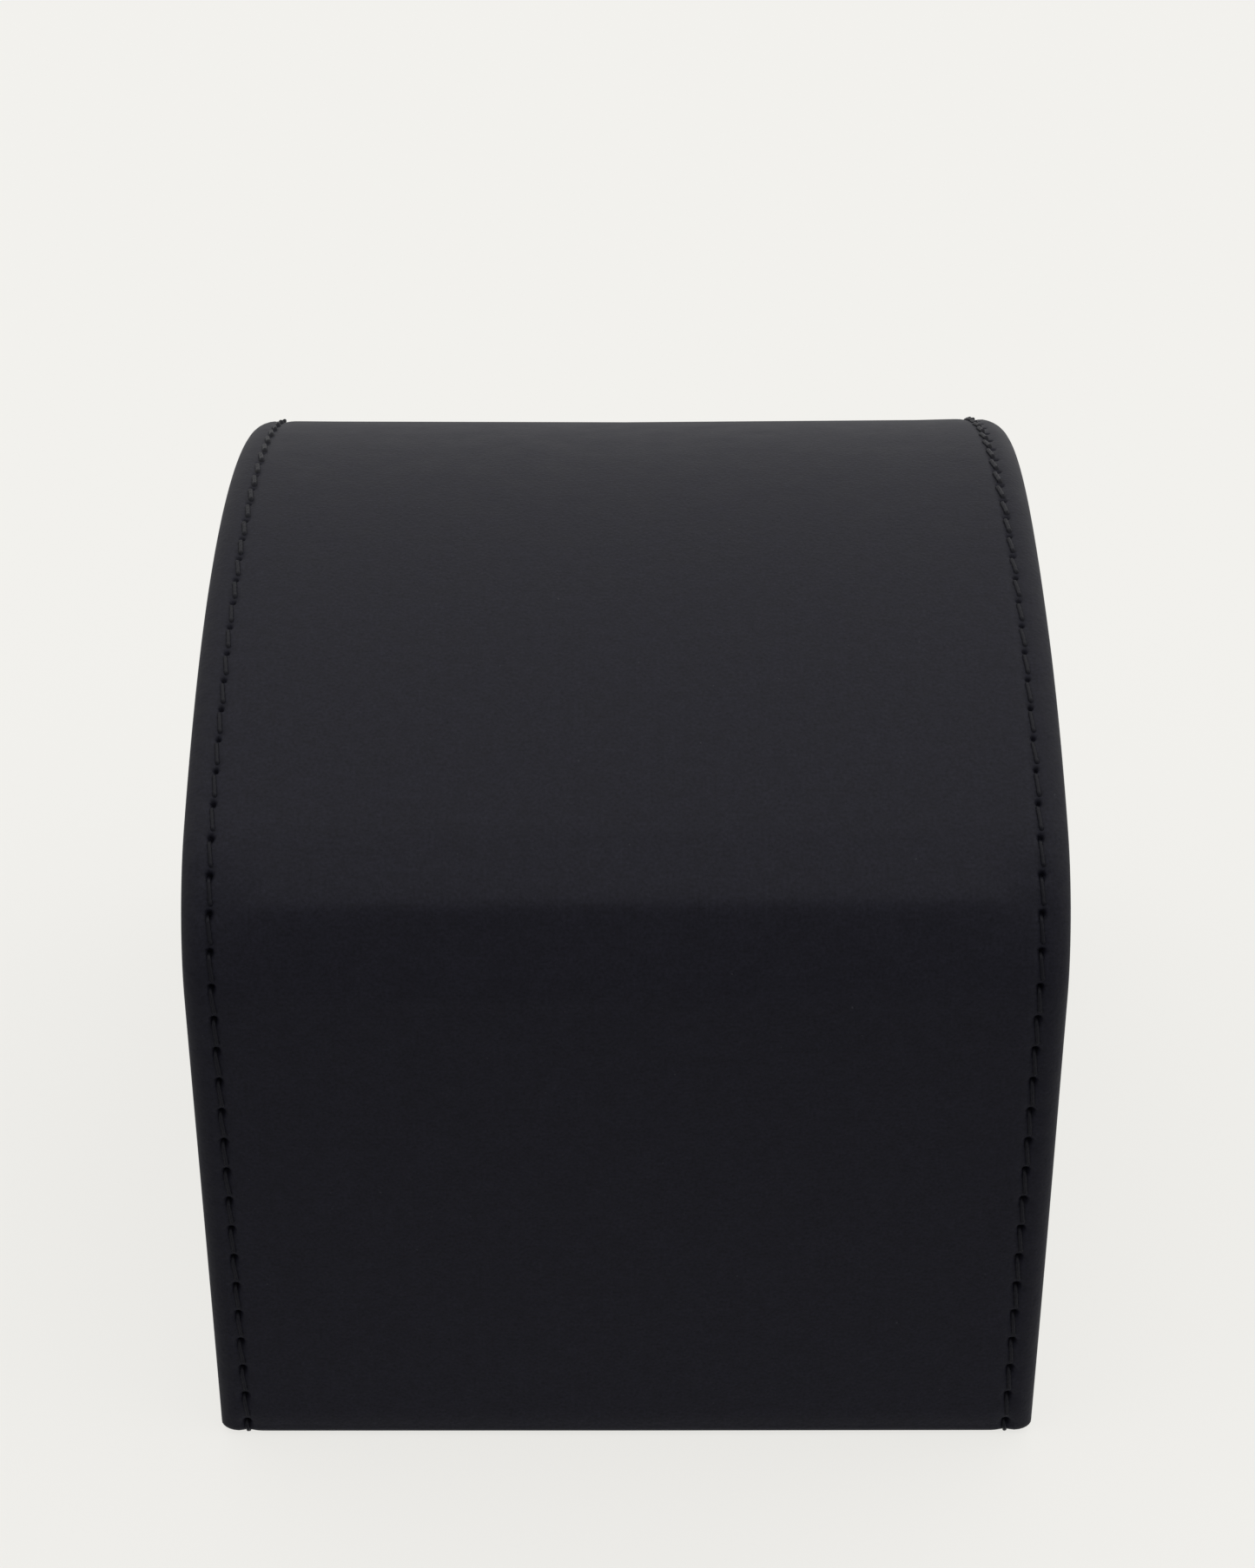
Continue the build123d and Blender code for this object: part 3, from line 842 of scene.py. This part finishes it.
SEAM_END = 0.8 * MM
for side, word in ((-1, "left"), (1, "right")):
    low = base_seam_arc - loop_length + SEAM_END
    seam = thread_run(f"seam_thread_{word}", side, low, lid_lip_arc - SEAM_END)
    dress(seam, thread_surface, "seam_thread", f"cup_{word}_thread", f"lid_{word}_thread")
    across_hinge(seam)

    low, high = cup_lip_arc + SEAM_END, base_seam_arc - SEAM_END
    front_seam = thread_run(f"front_thread_{word}", side, low, high)
    dress(front_seam, thread_surface, "seam_thread", f"cup_{word}_thread")
    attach(front_seam, "cup")

    panel = cup_side(
        f"cup_side_{word}", side * side_x, side * side_board_x, hem_inset, cup_top,
        PANEL_ROUNDING, PANEL_CROWN, seed=40 + side,
    )
    dress(panel, leather_surface, "leather", f"cup_{word}_leather")
    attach(panel, "cup")

    cheek = lid_side(
        f"lid_cheek_{word}", side * side_x, side * side_board_x, lid_bottom,
        PANEL_ROUNDING, PANEL_CROWN, seed=50 + side,
    )
    dress(cheek, leather_surface, "leather", f"lid_{word}_leather")
    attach(cheek, "lid")

    lining = cup_side(
        f"cup_suede_{word}", side * inner_x, side * side_lining_x, hem_inset, facing_bottom,
        SUEDE_ROUNDING, crown=0.0, seed=60 + side,
    )
    dress(lining, suede_surface, "suede", f"cup_{word}_lining")
    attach(lining, "cup")

    lining = lid_side(
        f"lid_suede_{word}", side * inner_x, side * side_lining_x, lid_facing_top,
        SUEDE_ROUNDING, crown=0.0, seed=70 + side,
    )
    dress(lining, suede_surface, "suede", f"lid_{word}_lining")
    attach(lining, "lid")

pad_run = pad_top - BASE_FOLD_RADIUS
wall_lining = wrapped("rear_suede", pad_run, facing_bottom - BASE_FOLD_RADIUS, seed=80)
dress(wall_lining, suede_surface, "suede", "rear_lining")
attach(wall_lining, "cup")

wall_lining = wrapped(
    "front_suede", crown_run + wall_top - facing_bottom, crown_run + wall_top - pad_top, seed=81
)
dress(wall_lining, suede_surface, "suede", "front_lining")
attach(wall_lining, "cup")

lining_turn = math.asin((lid_facing_top - height + dome_radius) / (dome_radius - lining_inset))
lining_start = wall_run + shoulder_run + (lining_turn - SHOULDER_TURN) * dome_radius
dome_lining = wrapped("lid_dome_suede", lining_start, wall_run + crown_run - lining_start, seed=82)
dress(dome_lining, suede_surface, "suede", "lid_dome_lining")
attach(dome_lining, "lid")

pad_y = half_depth - board_inset
pad = slab(
    "base_pad_suede", (-inner_x, -pad_y), (inner_x, pad_y), SHEET_STEP, PAD_ROUNDING,
    lambda x, y: at(x, y, pad_top), lambda x, y: at(x, y, board_inset), PAD_CROWN, seed=83,
)
dress(pad, suede_surface, "suede", "base_pad")
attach(pad, "cup")

cup_rim = rim_facing("cup_rim_leather", cup_top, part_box("rear_board")[1].z, facing_bottom)
dress(cup_rim, leather_surface, "leather", "cup_rim_facing")
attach(cup_rim, "cup")

lid_rim = rim_facing("lid_rim_leather", lid_bottom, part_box("lid_dome_board")[0].z, lid_facing_top)
dress(lid_rim, leather_surface, "leather", "lid_rim_facing")
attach(lid_rim, "lid")

for name, node in frame["nodes"].items():
    if name.endswith("_board"):
        node.material_slots[0].material = board_surface
    elif name.endswith("_magnets"):
        node.material_slots[0].material = magnet_surface


# ---- floor, light and camera -----------------------------------------------------------------------
FLOOR_REACH = 60.0  # metres each way, to the horizon
FLOOR_DROP = 0.05 * MM
FLOOR_COLOUR = (0.15, 0.1485, 0.143, 1)
GLOW_COLOUR = (1.0, 0.99, 0.953, 1)
FLOOR_GLOW = 0.7445
# The surround's greys by elevation in degrees, on the hinge's side and on the closing side
NEAR_SIDE = [
    (-90, 1.05),
    (-64, 0.38),
    (-50, 0.215),
    (-36, 0.3),
    (-5, 0.3),
    (10, 0.36),
    (40, 0.42),
    (65, 0.71),
    (90, 1.37),
]
FAR_SIDE = [(-90, 1.05), (-62, 0.52), (-35, 0.67), (-10, 0.72), (20, 0.76), (45, 0.95), (90, 1.28)]
# Its strength by the angle out of the middle plane, from the left to the right
LEFT_TO_RIGHT = [(-90, 1.2), (-50, 1.15), (-20, 1.0), (0, 1.0), (20, 1.15), (50, 1.5), (90, 1.6)]
NEAR_TINT = (1, 1, 1.05)
TURN_FROM = -0.7  # how far forward the hinge's side begins to give way to the closing side
TURN_TO = 0.1
scene = bpy.context.scene
scene.view_settings.view_transform = "Standard"


def pale_floor():
    """A plain pale floor, partly glowing, so that it is only softly shaded where the part stands."""
    corners = FLOOR_REACH * np.array([(-1, -1, 0), (1, -1, 0), (1, 1, 0), (-1, 1, 0)])
    floor = new_mesh("floor", corners, [[0, 1, 2, 3]], corners)
    floor.location.z = -FLOOR_DROP
    paint = Paint("floor", roughness=1.0, specular=0.0)
    paint.shader.inputs["Base Color"].default_value = FLOOR_COLOUR
    paint.shader.inputs["Emission Color"].default_value = GLOW_COLOUR
    paint.shader.inputs["Emission Strength"].default_value = FLOOR_GLOW
    floor.data.materials.append(paint.material)
    floor.visible_diffuse = False
    floor.visible_glossy = False


def soft_surround():
    """Soft light from all round, brightest overhead and dimmest on the hinge's side."""
    world = bpy.data.worlds.new("surround")
    world.use_nodes = True
    scene.world = world
    tree = world.node_tree
    backdrop = tree.nodes["Background"]
    coordinates = tree.nodes.new("ShaderNodeTexCoord")
    parts = tree.nodes.new("ShaderNodeSeparateXYZ")
    tree.links.new(coordinates.outputs["Generated"], parts.inputs[0])

    def ramp(axis, stops, tint=(1, 1, 1)):
        """Greys along one axis of the surround, placed by their angles."""
        shift = tree.nodes.new("ShaderNodeMapRange")
        tree.links.new(parts.outputs[axis], shift.inputs["Value"])
        shift.inputs["From Min"].default_value = -1
        made = tree.nodes.new("ShaderNodeValToRGB")
        tree.links.new(shift.outputs["Result"], made.inputs["Fac"])
        elements = made.color_ramp.elements
        while len(elements) < len(stops):
            elements.new(0.5)
        for element, (angle, grey) in zip(elements, stops):
            element.position = (math.sin(math.radians(angle)) + 1) / 2
            element.color = (*(grey * share for share in tint), 1)
        return made.outputs["Color"]

    near = ramp("Z", NEAR_SIDE, NEAR_TINT)
    far = ramp("Z", FAR_SIDE)
    side = tree.nodes.new("ShaderNodeMapRange")
    side.interpolation_type = "SMOOTHSTEP"
    tree.links.new(parts.outputs["Y"], side.inputs["Value"])
    side.inputs["From Min"].default_value = TURN_FROM
    side.inputs["From Max"].default_value = TURN_TO
    mix = tree.nodes.new("ShaderNodeMix")
    mix.data_type = "RGBA"
    tree.links.new(side.outputs["Result"], mix.inputs[0])
    tree.links.new(near, mix.inputs[6])
    tree.links.new(far, mix.inputs[7])
    tree.links.new(mix.outputs[2], backdrop.inputs["Color"])
    tree.links.new(ramp("X", LEFT_TO_RIGHT), backdrop.inputs["Strength"])


pale_floor()
soft_surround()

LENS = 79.18
CAMERA_PLACE = Vector((0.16 * MM, -315.8 * MM, 257.8 * MM))
CAMERA_PITCH = math.radians(33.52)
CAMERA_ROLL = math.radians(-0.05)
lens = bpy.data.cameras.new("camera")
lens.lens = LENS
lens.sensor_width = 36
lens.clip_start = 0.01
camera = bpy.data.objects.new("camera", lens)
scene.collection.objects.link(camera)
tilt = Matrix.Rotation(math.pi / 2 - CAMERA_PITCH, 4, "X") @ Matrix.Rotation(CAMERA_ROLL, 4, "Z")
camera.matrix_world = Matrix.Translation(CAMERA_PLACE) @ tilt
scene.camera = camera

bpy.context.view_layer.update()
